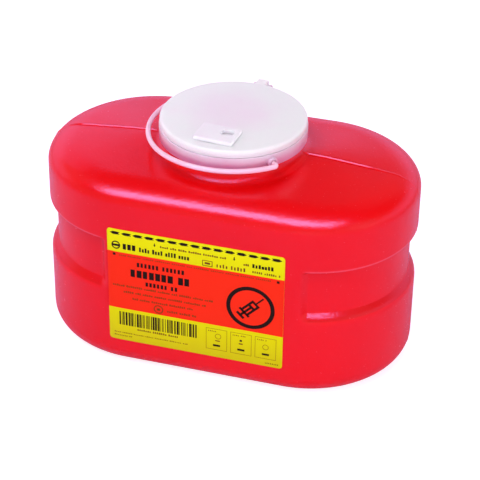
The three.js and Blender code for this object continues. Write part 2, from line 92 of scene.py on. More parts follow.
# ---- funnel, hinge, lock and handle ----
FLANGE_RADIUS = 30
THROAT_RADIUS = 22
THROAT_OFFSET = 6.5
THROAT_TOP = 133
CHUTE_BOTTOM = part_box("funnel_chute")[0].z / MM
FUNNEL_WALL = 1.2
HINGE_REACH = 49.6
HINGE_HEIGHT = 145.3
PIN_RADIUS = 1
KNUCKLE_RADIUS = 2.5
KNUCKLE_WIDTH = 6.6
KNUCKLE_TOP = 150.6
EAR_WIDTH = 2.2
BOSS_RADIUS = 3.2  # round bosses of the collar in which the handle's pegs turn
LOCK_WIDTH, LOCK_DEPTH, LOCK_HEIGHT = 24.5, 18, 2.4
LOCK_ACROSS, LOCK_ALONG = 1, -28.5
LOCK_TRAVEL = 3
STEM_WIDTH, STEM_DEPTH, STEM_ALONG = 3.2, 2.2, -32.6
FOOT_SPAN = 6  # width of the foot under the collar's deck and of the keeper above it
SLOT_ROOM = 0.8  # how much larger a slot is than the stem or foot that it takes
HANDLE_TURN = math.radians(-43.6)
HANDLE_HEIGHT = 141.1
HANDLE_HALF_SPAN = 50.9
HANDLE_REACH = 52.1
HANDLE_POWER = 1.95
ROD_RADIUS = 1.5
ROD_BEND = 1.8

# ---- label ----
LABEL_LEFT, LABEL_RIGHT = -58.6, 51.5
LABEL_LOW, LABEL_HIGH = 19.1, 99.2
LABEL_CORNER = 2
LABEL_LIFT = 0.05
LABEL_THICKNESS = 0.3
BAND_HIGH, BAND_LOW = 83.4, 42.7  # heights where the orange field ends and starts
INK = 0.05  # how far the print stands off the film
CODE_SEED = 41

# ---- camera ----
CAMERA_AZIMUTH = math.radians(15.888)
CAMERA_ELEVATION = math.radians(32.641)
CAMERA_ROLL = math.radians(0.919)
CAMERA_DISTANCE = 1.1099
CAMERA_TARGET = Vector((0.00521, 0, 0.06244))
CAMERA_LENS = 132.75


def make_camera():
    data = bpy.data.cameras.new("camera")
    data.sensor_width = 36
    data.lens = CAMERA_LENS
    data.clip_start, data.clip_end = 0.05, 60
    camera = bpy.data.objects.new("camera", data)
    bpy.context.scene.collection.objects.link(camera)
    sine, cosine = math.sin(CAMERA_AZIMUTH), math.cos(CAMERA_AZIMUTH)
    level, drop = math.cos(CAMERA_ELEVATION), math.sin(CAMERA_ELEVATION)
    right = Vector((cosine, sine, 0))
    forward = Vector((-sine * level, cosine * level, -drop))
    roll = Matrix.Rotation(-CAMERA_ROLL, 3, forward)
    right = roll @ right
    up = right.cross(forward)
    camera.matrix_world = Matrix.Translation(CAMERA_TARGET - forward * CAMERA_DISTANCE) @ Matrix(
        (right, up, -forward)).transposed().to_4x4()
    bpy.context.scene.camera = camera


make_camera()


# ---- mesh helpers ----
def finished(bm, name, sharp=40):
    """A linked object from a bmesh in millimetres, smooth except where faces meet at more than sharp
    degrees."""
    bmesh.ops.remove_doubles(bm, verts=bm.verts, dist=1e-4)
    bmesh.ops.delete(bm, geom=[edge for edge in bm.edges if not edge.link_faces], context="EDGES")
    bmesh.ops.recalc_face_normals(bm, faces=bm.faces)
    bmesh.ops.scale(bm, vec=(MM, MM, MM), verts=bm.verts)
    mesh = bpy.data.meshes.new(name)
    bm.to_mesh(mesh)
    bm.free()
    mesh.shade_smooth()
    mesh.set_sharp_from_angle(angle=math.radians(sharp))
    made = bpy.data.objects.new(name, mesh)
    bpy.context.scene.collection.objects.link(made)
    return made


def lofted(bm, rings, wrap=False):
    """Skins rings of equally many points. The two ends are closed flat, or joined if wrap is true."""
    loops = [[bm.verts.new(point) for point in ring] for ring in rings]
    pairs = list(zip(loops, loops[1:])) + ([(loops[-1], loops[0])] if wrap else [])
    for low, high in pairs:
        for i, corner in enumerate(low):
            j = (i + 1) % len(low)
            bm.faces.new((corner, low[j], high[j], high[i]))
    if not wrap:
        bm.faces.new(loops[0][::-1])
        bm.faces.new(loops[-1])


def filleted(corners, closed=True, steps=4):
    """An outline through (a, b, radius) corners, each rounded to its radius."""
    outline = []
    last = len(corners) - 1
    for i, (a, b, radius) in enumerate(corners):
        corner = Vector((a, b))
        if radius == 0 or (not closed and i in (0, last)):
            outline.append(corner)
            continue
        before = Vector(corners[i - 1][:2]) - corner
        after = Vector(corners[(i + 1) % len(corners)][:2]) - corner
        half = before.angle(after) / 2
        cut = radius / math.tan(half)
        inwards = (before.normalized() + after.normalized()).normalized()
        middle = corner + inwards * radius / math.sin(half)
        start = corner + before.normalized() * cut - middle
        sweep = start.angle_signed(corner + after.normalized() * cut - middle)
        for step in range(steps + 1):
            outline.append(middle + Matrix.Rotation(-sweep * step / steps, 2) @ start)
    return outline


def turned(bm, outline, steps=160):
    """A closed (radius, height) outline turned about the cap's axis."""
    rings = []
    for step in range(steps):
        angle = 2 * math.pi * step / steps
        across, along = math.cos(angle), math.sin(angle)
        rings.append([(r * across, r * along, z) for r, z in outline])
    lofted(bm, rings, wrap=True)


def cap_turned(bm):
    """Turns what was made in the cap's own frame, with Y towards the hinge, to its place on the neck."""
    bmesh.ops.rotate(bm, verts=bm.verts, matrix=Matrix.Rotation(CAP_TURN, 3, "Z"))


def prism(outline, low, high, plane):
    """An outline given thickness from low to high. plane maps (a, b, depth) to a point."""
    bm = bmesh.new()
    lofted(bm, [[plane(a, b, depth) for a, b in outline] for depth in (low, high)])
    cap_turned(bm)
    return finished(bm, "tool")


def upright(a, b, depth):
    return (a, b, depth)


def sideways(a, b, depth):
    return (depth, a, b)


def rectangle(centre, half_x, half_y, radius):
    """The four corners of a rectangle for filleted."""
    return [(centre[0] + i * half_x, centre[1] + j * half_y, radius)
            for i, j in ((-1, -1), (1, -1), (1, 1), (-1, 1))]


def rounded_box(centre, size, radius, bottom, top):
    """A block with round upright corners, whose bottom and top are heights."""
    return prism(filleted(rectangle(centre, size[0] / 2, size[1] / 2, radius)), bottom, top, upright)


def rod(radius, start, end, steps=32, edge=0.0):
    """A round bar between two points of the cap's frame, with a chamfer of edge at both ends."""
    axis = Vector(end) - Vector(start)
    turn = Vector((0, 0, 1)).rotation_difference(axis)
    length = axis.length
    profile = [(radius - edge, 0), (radius, edge), (radius, length - edge), (radius - edge, length)]
    rings = []
    for r, along in profile if edge else profile[1:3]:
        angles = [2 * math.pi * i / steps for i in range(steps)]
        ring = [Vector((r * math.cos(angle), r * math.sin(angle), along)) for angle in angles]
        rings.append([Vector(start) + turn @ point for point in ring])
    bm = bmesh.new()
    lofted(bm, rings)
    cap_turned(bm)
    return finished(bm, "tool")


def combined(target, tools, operation, sharp=40):
    """Joins tools to the target or cuts them from it, and removes them."""
    for tool in tools:
        modifier = target.modifiers.new("combine", "BOOLEAN")
        modifier.object = tool
        modifier.operation = operation
        modifier.solver = "EXACT"
    graph = bpy.context.evaluated_depsgraph_get()
    graph.update()
    mesh = bpy.data.meshes.new_from_object(target.evaluated_get(graph))
    target.modifiers.clear()
    target.data = mesh
    mesh.shade_smooth()
    mesh.set_sharp_from_angle(angle=math.radians(sharp))
    for tool in tools:
        bpy.data.objects.remove(tool, do_unlink=True)
    return target


# ---- body shell ----
def smoothstep(value, low, high):
    share = min(max((value - low) / (high - low), 0), 1)
    return share * share * (3 - 2 * share)


def outline_stations():
    """Columns round the oval, as (centre, angle, seam offset). A seam column keeps its own distance
    from the middle plane instead of an angle."""
    steep, settled = WAIST_WALL
    past = [0, 3, 6]
    past += [steep + (settled - steep) * step / 12 for step in range(13)]
    past += [16 + 3 * step for step in range(25)]
    quarter = [(angle - 90, None) for angle in past]
    seam = [(0, SEAM_WIDTH * share) for share in (-2, -1, -0.5)]
    half = quarter + seam
    mirrored = [(-angle, None if offset is None else -offset) for angle, offset in reversed(half)]
    turn = half + [(0, 0)] + mirrored
    straight_steps = 18
    stations = []
    for side in (1, -1):
        for angle, offset in turn:
            stations.append((side * END_CENTRE, math.radians(angle if side > 0 else angle + 180),
                             None if offset is None else side * offset))
        for step in range(1, straight_steps):
            centre = side * END_CENTRE * (1 - 2 * step / straight_steps)
            stations.append((centre, math.radians(side * 90), None))
    return stations


def outline_point(station, inset):
    centre, angle, offset = station
    reach = HALF_DEPTH - inset
    if offset is None:
        return Vector((centre + reach * math.cos(angle), reach * math.sin(angle), 0))
    along = math.sqrt(max(reach * reach - offset * offset, 0))
    return Vector((centre + math.copysign(along, centre), offset, 0))


def waist_share(station):
    """How much of its full depth the grip recess has at a column: none on the flat front and back,
    and all of it round the ends."""
    angle, offset = station[1:]
    if offset is not None:
        return 1
    past = 90 - math.degrees(math.acos(min(abs(math.sin(angle)), 1)))
    return smoothstep(90 - past, *WAIST_WALL)


def top_height(x, y, wall=0.0):
    """Height of the shell's top from the shoulder to the neck. A wall gives that of its inner face."""
    distance = math.hypot(max(abs(x) - END_CENTRE, 0), y)
    inset = HALF_DEPTH - distance
    left = min(max(1 - (inset - wall) / (SHOULDER_RUN - wall), 0), 1)
    shoulder = (SHOULDER_RISE - wall) * (1 - left ** SHOULDER_POWER) ** (1 / SHOULDER_POWER)
    crown = CROWN_SLOPE * (HALF_DEPTH - math.hypot(distance, CROWN_SOFTNESS))
    fillet_radius = NECK_FILLET + wall
    share = min(max((math.hypot(x, y) - NECK_RADIUS + wall) / fillet_radius, 0), 1)
    fillet = fillet_radius * (1 - math.sqrt(1 - (1 - share) ** 2))
    return SHOULDER_START + shoulder + crown + fillet


def side_rings(stations, panel, waist):
    """Rings of the upright side from the same profile without and with the grip recess."""
    shares = [waist_share(station) for station in stations]
    rings = []
    for (flat, _), (deep, height) in zip(panel, waist):
        ring = []
        for station, share in zip(stations, shares):
            point = outline_point(station, flat + (deep - flat) * share)
            point.z = height
            ring.append(point)
        rings.append(ring)
    return rings


def top_rings(stations, wall, turns, spreads, fillet_shares):
    """Rings of the top from the side to the neck: round the shoulder in turns of degrees, then spread
    from the oval to the circle, then up the neck's fillet."""
    rings = []
    for turn in turns:
        inset = wall + (SHOULDER_RUN - wall) * (1 - math.cos(math.radians(turn)))
        rings.append([outline_point(station, inset) for station in stations])
    rim = rings[-1]

    def ring_at(radius):
        ring = []
        for point, station in zip(rim, stations):
            if station[2] is None:
                ring.append(point.normalized() * radius)
            else:
                across = math.sqrt(radius * radius - point.y * point.y)
                ring.append(Vector((math.copysign(across, point.x), point.y, 0)))
        return ring

    edge = ring_at(NECK_RADIUS + NECK_FILLET)
    for share in spreads:
        rings.append([a.lerp(b, share) for a, b in zip(rim, edge)])
    for share in fillet_shares:
        rings.append(ring_at(NECK_RADIUS - wall + (NECK_FILLET + wall) * share))
    for ring in rings:
        for point in ring:
            point.z = top_height(point.x, point.y, wall)
    return rings, ring_at


def raise_seam(stations, rings, lean):
    """Lifts the columns of the parting line. lean is 0 where the skin is upright and 1 where it is
    level."""
    for ring, level in zip(rings, lean):
        for station, point in zip(stations, ring):
            if station[2] is None:
                continue
            bump = max(1 - abs(station[2]) / SEAM_WIDTH, 0)
            fade = smoothstep(math.hypot(point.x, point.y), NECK_RADIUS + 2, NECK_RADIUS + 6)
            strong = 1
            for distance, (start, end, loss) in ((-point.x, SEAM_LEFT_FADE), (point.x, SEAM_RIGHT_FADE)):
                strong -= loss * smoothstep(distance, start, end)
            lift = SEAM_HEIGHT * bump * fade * strong
            point.x += math.copysign(lift * (1 - level), point.x)
            point.z += lift * level


def offset_profile(profile, distance):
    """Shifts a profile of (inset, height) points inwards."""
    normals = []
    for (inset, height), (next_inset, next_height) in zip(profile, profile[1:]):
        run, rise = next_inset - inset, next_height - height
        size = math.hypot(run, rise)
        normals.append((rise / size, -run / size))
    shifted = []
    for i, (inset, height) in enumerate(profile):
        before, after = normals[max(i - 1, 0)], normals[min(i, len(normals) - 1)]
        scale = distance / (1 + before[0] * after[0] + before[1] * after[1])
        across, up = before[0] + after[0], before[1] + after[1]
        shifted.append((inset + across * scale, height + up * scale))
    return shifted


def lower_edge(steps):
    """The rounding from the foot ring to the upright side."""
    turns = [math.radians(90 * step / steps) for step in range(steps + 1)]
    return [(BASE_RADIUS * (1 - math.sin(turn)), BASE_RADIUS * (1 - math.cos(turn))) for turn in turns]


def shell():
    """Outer skin from the middle of the base up to the lip, then the inner skin back down. Profiles are
    (inset, height) points."""
    stations = outline_stations()
    foot = BASE_RADIUS + FOOT_WIDTH
    # the mould's pinch line, the raised middle and the foot ring
    under = [(HALF_DEPTH - 1.3, FOOT_RISE - 0.5), (HALF_DEPTH - 1.7, FOOT_RISE)]
    under += [(inset, FOOT_RISE) for inset in (55, 40, 28)]
    under += [(foot + 2.2, FOOT_RISE), (foot + 1.2, FOOT_RISE - 0.5), (foot + 0.7, 0.4), (foot, 0)]
    base = under + lower_edge(14) + [(0, height) for height in (20, 30, 40, 48)]
    recess = [(0, 50, 0), (0, WAIST_LOW, 8), (WAIST_DEPTH, WAIST_FLOOR_LOW, 0.8),
              (WAIST_DEPTH, WAIST_FLOOR_HIGH, 0.7), (0, WAIST_HIGH, 1.0), (0, 93, 0)]
    waist = [tuple(point) for point in filleted(recess, closed=False, steps=5)]
    floor_height = WAIST_FLOOR_HIGH - WAIST_FLOOR_LOW
    half_way = (WAIST_FLOOR_LOW + WAIST_FLOOR_HIGH) / 2
    middle = next(i for i, point in enumerate(waist) if point[1] > half_way)
    waist[middle:middle] = [(WAIST_DEPTH, WAIST_FLOOR_LOW + floor_height * share)
                            for share in (0.25, 0.5, 0.75)]
    above = [(0, height) for height in (98, 104, 109, 112.5)]
    panel = base + [(0, height) for _, height in waist] + above
    outer = side_rings(stations, panel, base + waist + above)
    turns = [4 + (SHOULDER_TURN - 4) * step / 13 for step in range(14)]
    spreads = [step / 16 for step in range(1, 17)]
    fillet_shares = [0.88, 0.75, 0.62, 0.5, 0.38, 0.28, 0.19, 0.11, 0.05, 0.015, 0]
    top, ring_at = top_rings(stations, 0, turns, spreads, fillet_shares)
    side = outer[len(under):]
    lean = [0] * len(side) + [1 - math.cos(math.radians(turn)) for turn in turns]
    lean += [1] * (len(top) - len(turns))
    raise_seam(stations, side + top, lean)
    bead, mouth = NECK_RADIUS + NECK_BEAD, NECK_RADIUS - WALL
    neck = filleted([
        (NECK_RADIUS, 141.6, 0), (NECK_RADIUS, 141.9, 0.1), (bead, 142.2, 0.3), (bead, 143.3, 0.4),
        (NECK_RADIUS, 144.3, 0.2), (NECK_RADIUS, NECK_TOP, 0.5), (mouth, NECK_TOP, 0.5),
        (mouth, NECK_TOP - 1.2, 0)], closed=False, steps=3)
    neck_rings = [[Vector((point.x, point.y, height)) for point in ring_at(radius)]
                  for radius, height in neck]
    bottom = [(foot + 1.2, FOOT_RISE - 0.5)] + lower_edge(5)
    dent = [(inset, height) for inset, height, _ in recess[1:5]]
    last = [(0, 113.5)]
    plain = bottom + [(0, height) for _, height in dent] + last
    inner = side_rings(stations, offset_profile(plain, WALL), offset_profile(bottom + dent + last, WALL))
    inner_turns = [15, 30, 46, SHOULDER_TURN]
    inner += top_rings(stations, WALL, inner_turns, [0.3, 0.65, 1], [0.6, 0.3, 0.1, 0])[0]
    bm = bmesh.new()
    lofted(bm, outer + top + neck_rings + inner[::-1])
    return finished(bm, "shell_moulding", sharp=50)


# ---- label ----
def front_point(x, z, lift):
    """A point of the shell's front, raised by lift, which follows the oval past its straight side."""
    past = max(abs(x) - END_CENTRE, 0)
    return Vector((x, -math.sqrt((HALF_DEPTH + lift) ** 2 - past ** 2), z))


def label_sheet():
    """The film, whose upper and lower outline is cut back at the ends to round its corners."""
    arm = LABEL_CORNER * 2
    corner = filleted([(0, arm, 0), (0, 0, LABEL_CORNER), (arm, 0, 0)], False, 8)[1:-1]
    columns = [(LABEL_LEFT + run, cut) for run, cut in corner]
    columns += [(LABEL_LEFT + LABEL_CORNER + 1.4 * step, 0) for step in range(1, 6)]
    columns += [(x, 0) for x in (-40, -20, 0, 20, 40)]
    columns += [(LABEL_RIGHT - run, cut) for run, cut in reversed(corner)]
    bm = bmesh.new()
    front = LABEL_LIFT + LABEL_THICKNESS
    edge = 0.08
    rings = []
    for x, cut in columns:
        low, high = LABEL_LOW + cut, LABEL_HIGH - cut
        section = [(low, LABEL_LIFT), (low, front - edge), (low + edge, front), (BAND_LOW, front),
                   (BAND_HIGH, front), (high - edge, front), (high, front - edge), (high, LABEL_LIFT)]
        rings.append([front_point(x, z, lift) for z, lift in section])
    lofted(bm, rings)
    return finished(bm, "label_film", sharp=60)


class Print:
    """Flat printed shapes on the label, placed in millimetres across and down from its upper left
    corner."""

    def __init__(self):
        self.bm = bmesh.new()

    def point(self, across, down, raised):
        depth = LABEL_LIFT + LABEL_THICKNESS + (INK if raised else -INK / 2)
        return front_point(LABEL_LEFT + across, LABEL_HIGH - down, depth)

    def shape(self, outline):
        lofted(self.bm, [[self.point(a, d, raised) for a, d in outline] for raised in (False, True)])

    def bar(self, across, down, width, height):
        self.shape([(across, down), (across + width, down), (across + width, down + height),
                    (across, down + height)])

    def turned_bar(self, centre, along, offset, length, width, angle):
        """A bar at an angle, placed along and beside a line through the centre."""
        sine, cosine = math.sin(angle), math.cos(angle)
        corners = rectangle((along, offset), length / 2, width / 2, 0)
        self.shape([(centre[0] + a * cosine - b * sine, centre[1] + a * sine + b * cosine)
                    for a, b, _ in corners])

    def ring(self, centre, radius, width, steps=48):
        rings = []
        for step in range(steps):
            angle = 2 * math.pi * step / steps
            inside = radius - width
            section = ((inside, False), (radius, False), (radius, True), (inside, True))
            rings.append([self.point(centre[0] + reach * math.cos(angle),
                                     centre[1] + reach * math.sin(angle), raised)
                          for reach, raised in section])
        lofted(self.bm, rings, wrap=True)

    def frame(self, across, down, width, height, line):
        self.bar(across, down, width, line)
        self.bar(across, down + height - line, width, line)
        self.bar(across, down + line, line, height - 2 * line)
        self.bar(across + width - line, down + line, line, height - 2 * line)

    def wording(self, across, down, width, height, pitch, seed, fill=0.7, ragged=True):
        """A line of plain blocks in word-like groups, where a real label has a line of text. fill is the
        share of the pitch that a block takes, and ragged cuts some blocks short."""
        draw = random.Random(seed)
        end = across + width
        left = draw.randint(3, 8)
        while across + pitch * fill < end:
            cut = height * draw.choice((0, 0, 0.2, 0.28)) if ragged else 0
            self.bar(across, down + cut, pitch * fill * draw.uniform(0.85, 1.1), height - cut)
            across += pitch
            left -= 1
            if left == 0:
                across += pitch * 0.7
                left = draw.randint(3, 8)

    def finish(self, name):
        return finished(self.bm, name, sharp=30)


def fill_line_marks(ink):
    """Arrow-like dashes that point outwards from the middle of the label's upper edge, and two marks
    that point down."""
    arrow = [(0, 0), (0.3, -1), (0.62, -1), (1, -0.75), (0.84, 0), (1, 0.75), (0.62, 1), (0.3, 1)]
    count, facing_left = 15, 8
    first, pitch, length, down = 1.9, 7.15, 6.4, 2.6
    for i in range(count):
        outline = arrow if i < facing_left else [(1 - a, b) for a, b in arrow]
        start = first + pitch * i
        ink.shape([(start + length * a, down + b) for a, b in outline])
    for across in (30, 79.3):
        ink.bar(across - 0.3, 5.4, 0.6, 1.2)
        ink.shape([(across - 0.7, 6.6), (across + 0.7, 6.6), (across, 8)])


def code_bars(ink, across, down, width, height):
    """A made-up row of upright bars."""
    draw = random.Random(CODE_SEED)
    end = across + width
    while across < end:
        bar = draw.choice((0.35, 0.35, 0.6, 0.9, 1.2))
        ink.bar(across, down, bar, height)
        across += bar + draw.choice((0.3, 0.45, 0.7, 1.0))


def sharps_pictogram(ink, centre):
    """A ring round a slanting syringe made of plain bars."""
    ink.ring(centre, 15, 2.5)
    barrel = [(-0.6, -2.4, 9.6, 1.5), (-0.6, 2.4, 9.6, 1.5)]
    cross_bars = [(-5.4, 0, 1.5, 8.4), (4.4, 0, 1.5, 6.3), (0.9, 0, 1.6, 3.3), (-8.8, 0, 1.7, 6)]
    plunger, needle = (-4.1, 0, 8.8, 1.5), (8.2, 0, 6.2, 1.0)
    for along, offset, length, width in barrel + cross_bars + [plunger, needle]:
        ink.turned_bar(centre, along, offset, length, width, math.radians(-45))


def label_prints():
    """The label's marks from top to bottom, in a dark ink and a soft one."""
    dark, soft = Print(), Print()
    fill_line_marks(dark)
    soft.wording(33.5, 6.5, 42, 1.4, 1.35, 1)
    dark.ring((5.6, 11), 2.8, 0.75)
    dark.bar(3.6, 10.3, 4, 1.5)
    dark.wording(10, 9.4, 9, 3.9, 2.9, 2, 0.8, False)
    dark.wording(20.3, 10.1, 32.5, 3.2, 1.75, 3, 0.66)
    soft.frame(59.7, 11, 6.3, 4, 0.45)
    soft.bar(61.2, 12.3, 3.3, 1.4)
    soft.wording(68.5, 12, 17.5, 2.6, 1.9, 4, 0.5)
    soft.wording(85, 8.7, 4.4, 1.4, 1.2, 5)
    dark.wording(90.4, 7.9, 15, 2.7, 1.9, 6, 0.72)
    soft.wording(90.5, 12.8, 17, 1.4, 1.3, 7, 0.6)
    for across, down in ((4.4, 17.6), (106.3, 17.8)):
        dark.bar(across - 0.8, down - 0.8, 1.6, 1.6)
    soft.wording(7.5, 17.4, 95, 0.8, 1.2, 8, 0.5)
    dark.wording(18.7, 21.3, 30, 3, 2.4, 9, 0.6, False)
    dark.wording(14.6, 26.8, 39, 5.2, 3.9, 10, 0.8, False)
    dark.wording(24, 34.4, 20.5, 2.9, 2.4, 11, 0.6, False)
    for i, (across, width) in enumerate(((3.1, 65), (10, 52), (15.5, 40))):
        soft.wording(across, 39 + 4.2 * i, width, 1.3, 1.3, 12 + i, 0.62)
    soft.ring((32, 52.6), 3, 0.6)
    soft.bar(31, 51.9, 2, 1.5)
    soft.wording(37.5, 52.1, 19.5, 1.4, 1.4, 16, 0.6)
    sharps_pictogram(dark, (89.7, 39.4))
    code_bars(dark, 6.7, 58.9, 50.4, 9.8)
    soft.wording(18.2, 69.8, 27, 1.4, 1.3, 17, 0.64)
    soft.wording(3.3, 74.2, 47, 0.8, 1.1, 18, 0.5)
    soft.wording(3.3, 76.4, 12, 0.8, 1.1, 19, 0.5)
    for i in range(3):
        across = 62.2 + 15.4 * i
        soft.frame(across, 59.3, 13.2, 15.4, 0.2)
        soft.wording(across + 1.4, 60.8, 6 + 2 * (i % 2), 0.8, 1.1, 20 + i, 0.5)
        dark.bar(across + 4.4, 70.8, 4.5, 1.4)
    soft.ring((69.8, 64.6), 1.9, 0.25, 24)
    soft.bar(68, 67.6, 3, 0.7)
    dark.bar(83.4, 64, 1.4, 1.4)
    soft.bar(82.9, 66.6, 2.4, 0.9)
    soft.ring((99.6, 66.2), 1.9, 0.25, 24)
    soft.wording(99.5, 77.3, 8.6, 0.8, 1.1, 24, 0.5)
    return dark.finish("label_ink_dark"), soft.finish("label_ink_soft")


# ---- cap, made in its own frame with Y towards the hinge ----
def pin_hole(width):
    """A tool that clears the hinge pin."""
    half = width / 2
    return rod(PIN_RADIUS + GAP, (-half, HINGE_REACH, HINGE_HEIGHT), (half, HINGE_REACH, HINGE_HEIGHT))


def eye_arc(start, end, steps=10):
    """Part of the round of a hinge eye, between two angles in degrees."""
    angles = [math.radians(start + (end - start) * step / steps) for step in range(steps + 1)]
    return [(HINGE_REACH + KNUCKLE_RADIUS * math.cos(angle),
             HINGE_HEIGHT + KNUCKLE_RADIUS * math.sin(angle)) for angle in angles]


def collar():
    """The skirt and deck with the hinge's ears, the handle's bosses and the lock's slots."""
    inside = SKIRT_RADIUS - CAP_WALL
    under = DECK_TOP - CAP_WALL
    ridge = NECK_RADIUS + 0.6
    seat = FLANGE_RADIUS + GAP
    ledge = FLANGE_RADIUS - 1.2
    profile = filleted([
        (SKIRT_RADIUS, SKIRT_BOTTOM, 0.5), (SKIRT_RADIUS, SKIRT_TOP, 0.2),
        (UPSTAND_RADIUS, SKIRT_TOP, 0.3), (UPSTAND_RADIUS, DECK_TOP, 0.4), (seat, DECK_TOP, 0.2),
        (seat, DECK_TOP - 1.2, 0.1), (ledge, DECK_TOP - 1.2, 0.2), (ledge, DECK_TOP - 2.4, 0.2),
        (seat + 3.5, DECK_TOP - 2.4, 0.3), (seat + 4.3, under, 0.3), (NECK_RADIUS + GAP, under, 0.2),
        (NECK_RADIUS + GAP, SKIRT_TOP - 1, 0.2), (inside, SKIRT_TOP - 2.1, 0.2), (inside, 142.3, 0.2),
        (ridge, 141.6, 0.2), (ridge, 140.3, 0.2), (inside, SKIRT_BOTTOM, 0.1)])
    bm = bmesh.new()
    turned(bm, profile)
    cap_turned(bm)
    made = finished(bm, "collar_ring")
    ear = [(SKIRT_RADIUS - 1.2, HINGE_HEIGHT - 5), (SKIRT_RADIUS + 1.2, HINGE_HEIGHT - 5)]
    ear += eye_arc(-25, 115) + [(SKIRT_RADIUS - 1.2, HINGE_HEIGHT + 0.3)]
    offset = KNUCKLE_WIDTH / 2 + GAP + EAR_WIDTH / 2
    added = [prism(ear, side * offset - EAR_WIDTH / 2, side * offset + EAR_WIDTH / 2, sideways)
             for side in (1, -1)]
    removed = [pin_hole(2 * offset + EAR_WIDTH + 1)]
    for side in (1, -1):
        direction = Matrix.Rotation(HANDLE_TURN - CAP_TURN, 3, "Z") @ Vector((side, 0, 0))
        height = Vector((0, 0, HANDLE_HEIGHT))
        added.append(rod(BOSS_RADIUS, direction * (inside + 0.1) + height,
                         direction * (SKIRT_RADIUS + 2) + height, 40, 0.4))
        removed.append(rod(ROD_RADIUS + GAP, direction * NECK_RADIUS + height,
                           direction * (SKIRT_RADIUS + 3) + height))
    far = STEM_ALONG - LOCK_TRAVEL
    narrow, deep = STEM_WIDTH + SLOT_ROOM, STEM_DEPTH + SLOT_ROOM
    slots = [((FOOT_SPAN + SLOT_ROOM, deep), STEM_ALONG), ((narrow, deep), far),
             ((narrow, LOCK_TRAVEL), (STEM_ALONG + far) / 2)]
    for size, along in slots:
        removed.append(rounded_box((LOCK_ACROSS, along), size, 0.3, DECK_TOP - 5, DECK_TOP + 1))
    combined(made, added, "UNION")
    return combined(made, removed, "DIFFERENCE")


def funnel():
    """A flange, a cone that leans towards the hinge, and the throat."""
    mouth = FLANGE_RADIUS - 2.8
    flange_under = DECK_TOP - 0.9
    outline = filleted([
        (THROAT_RADIUS, CHUTE_BOTTOM, 0.4), (THROAT_RADIUS + FUNNEL_WALL, CHUTE_BOTTOM, 0.4),
        (THROAT_RADIUS + FUNNEL_WALL, THROAT_TOP, 1.5), (mouth + FUNNEL_WALL, flange_under, 0.3),
        (FLANGE_RADIUS, flange_under, 0.3), (FLANGE_RADIUS, DECK_TOP, 0.3), (mouth, DECK_TOP, 0.4),
        (mouth, flange_under, 1.2), (THROAT_RADIUS, THROAT_TOP, 2.5)], steps=5)
    steps = 128
    rings = []
    for step in range(steps):
        angle = 2 * math.pi * step / steps
        ring = []
        for radius, height in outline:
            sunk = min(max((flange_under - height) / (flange_under - THROAT_TOP), 0), 1)
            along = THROAT_OFFSET * sunk + radius * math.sin(angle)
            ring.append((radius * math.cos(angle), along, height))
        rings.append(ring)
    bm = bmesh.new()
    lofted(bm, rings, wrap=True)
    cap_turned(bm)
    return finished(bm, "funnel_insert")


def lid():
    """The disc with its rim and the plug ring under it, the hinge's knuckle and the lock's slot."""
    under = LID_TOP - LID_PLATE
    inside = LID_RADIUS - 1.4
    plug = FLANGE_RADIUS - 3.8
    half = filleted([
        (0, LID_TOP, 0), (LID_RADIUS, LID_TOP, 1.8), (LID_RADIUS, LID_BOTTOM, 0.2),
        (inside, LID_BOTTOM, 0.2), (inside, under, 0.5), (plug, under, 0.3), (plug, under - 2.5, 0.4),
        (plug - 1.2, under - 2.5, 0.4), (plug - 1.2, under, 0.3), (0, under, 0)], closed=False, steps=6)
    bm = bmesh.new()
    turned(bm, half)
    cap_turned(bm)
    made = finished(bm, "lid_disc")
    root = LID_RADIUS - 1.1
    front, back = HINGE_REACH - KNUCKLE_RADIUS, HINGE_REACH + KNUCKLE_RADIUS
    low = LID_BOTTOM + 0.6
    knuckle = [(root, low), (LID_RADIUS + 1.1, low), (front, HINGE_HEIGHT + 0.6)]
    knuckle += eye_arc(180, 360, 14)
    for degrees in range(0, 91, 15):
        turn = math.radians(degrees)
        knuckle.append((back - KNUCKLE_RADIUS * (1 - math.cos(turn)),
                        KNUCKLE_TOP - KNUCKLE_RADIUS * (1 - math.sin(turn))))
    knuckle.append((root, KNUCKLE_TOP))
    nub = prism(knuckle, -KNUCKLE_WIDTH / 2, KNUCKLE_WIDTH / 2, sideways)
    softened = nub.modifiers.new("softened", "BEVEL")
    softened.width = 1.3 * MM
    softened.segments = 4
    softened.limit_method = "ANGLE"
    softened.angle_limit = math.radians(40)
    combined(made, [nub], "UNION")
    slot = rounded_box((LOCK_ACROSS, STEM_ALONG - LOCK_TRAVEL / 2),
                       (STEM_WIDTH + SLOT_ROOM, STEM_DEPTH + LOCK_TRAVEL + SLOT_ROOM), 0.4,
                       LID_TOP - 3, LID_TOP + 3)
    return combined(made, [pin_hole(KNUCKLE_WIDTH + 1), slot], "DIFFERENCE")


def hinge_pin():
    half = KNUCKLE_WIDTH / 2 + GAP + EAR_WIDTH
    made = rod(PIN_RADIUS, (-half, HINGE_REACH, HINGE_HEIGHT), (half, HINGE_REACH, HINGE_HEIGHT),
               edge=0.25)
    made.name = "hinge_rod"
    return made


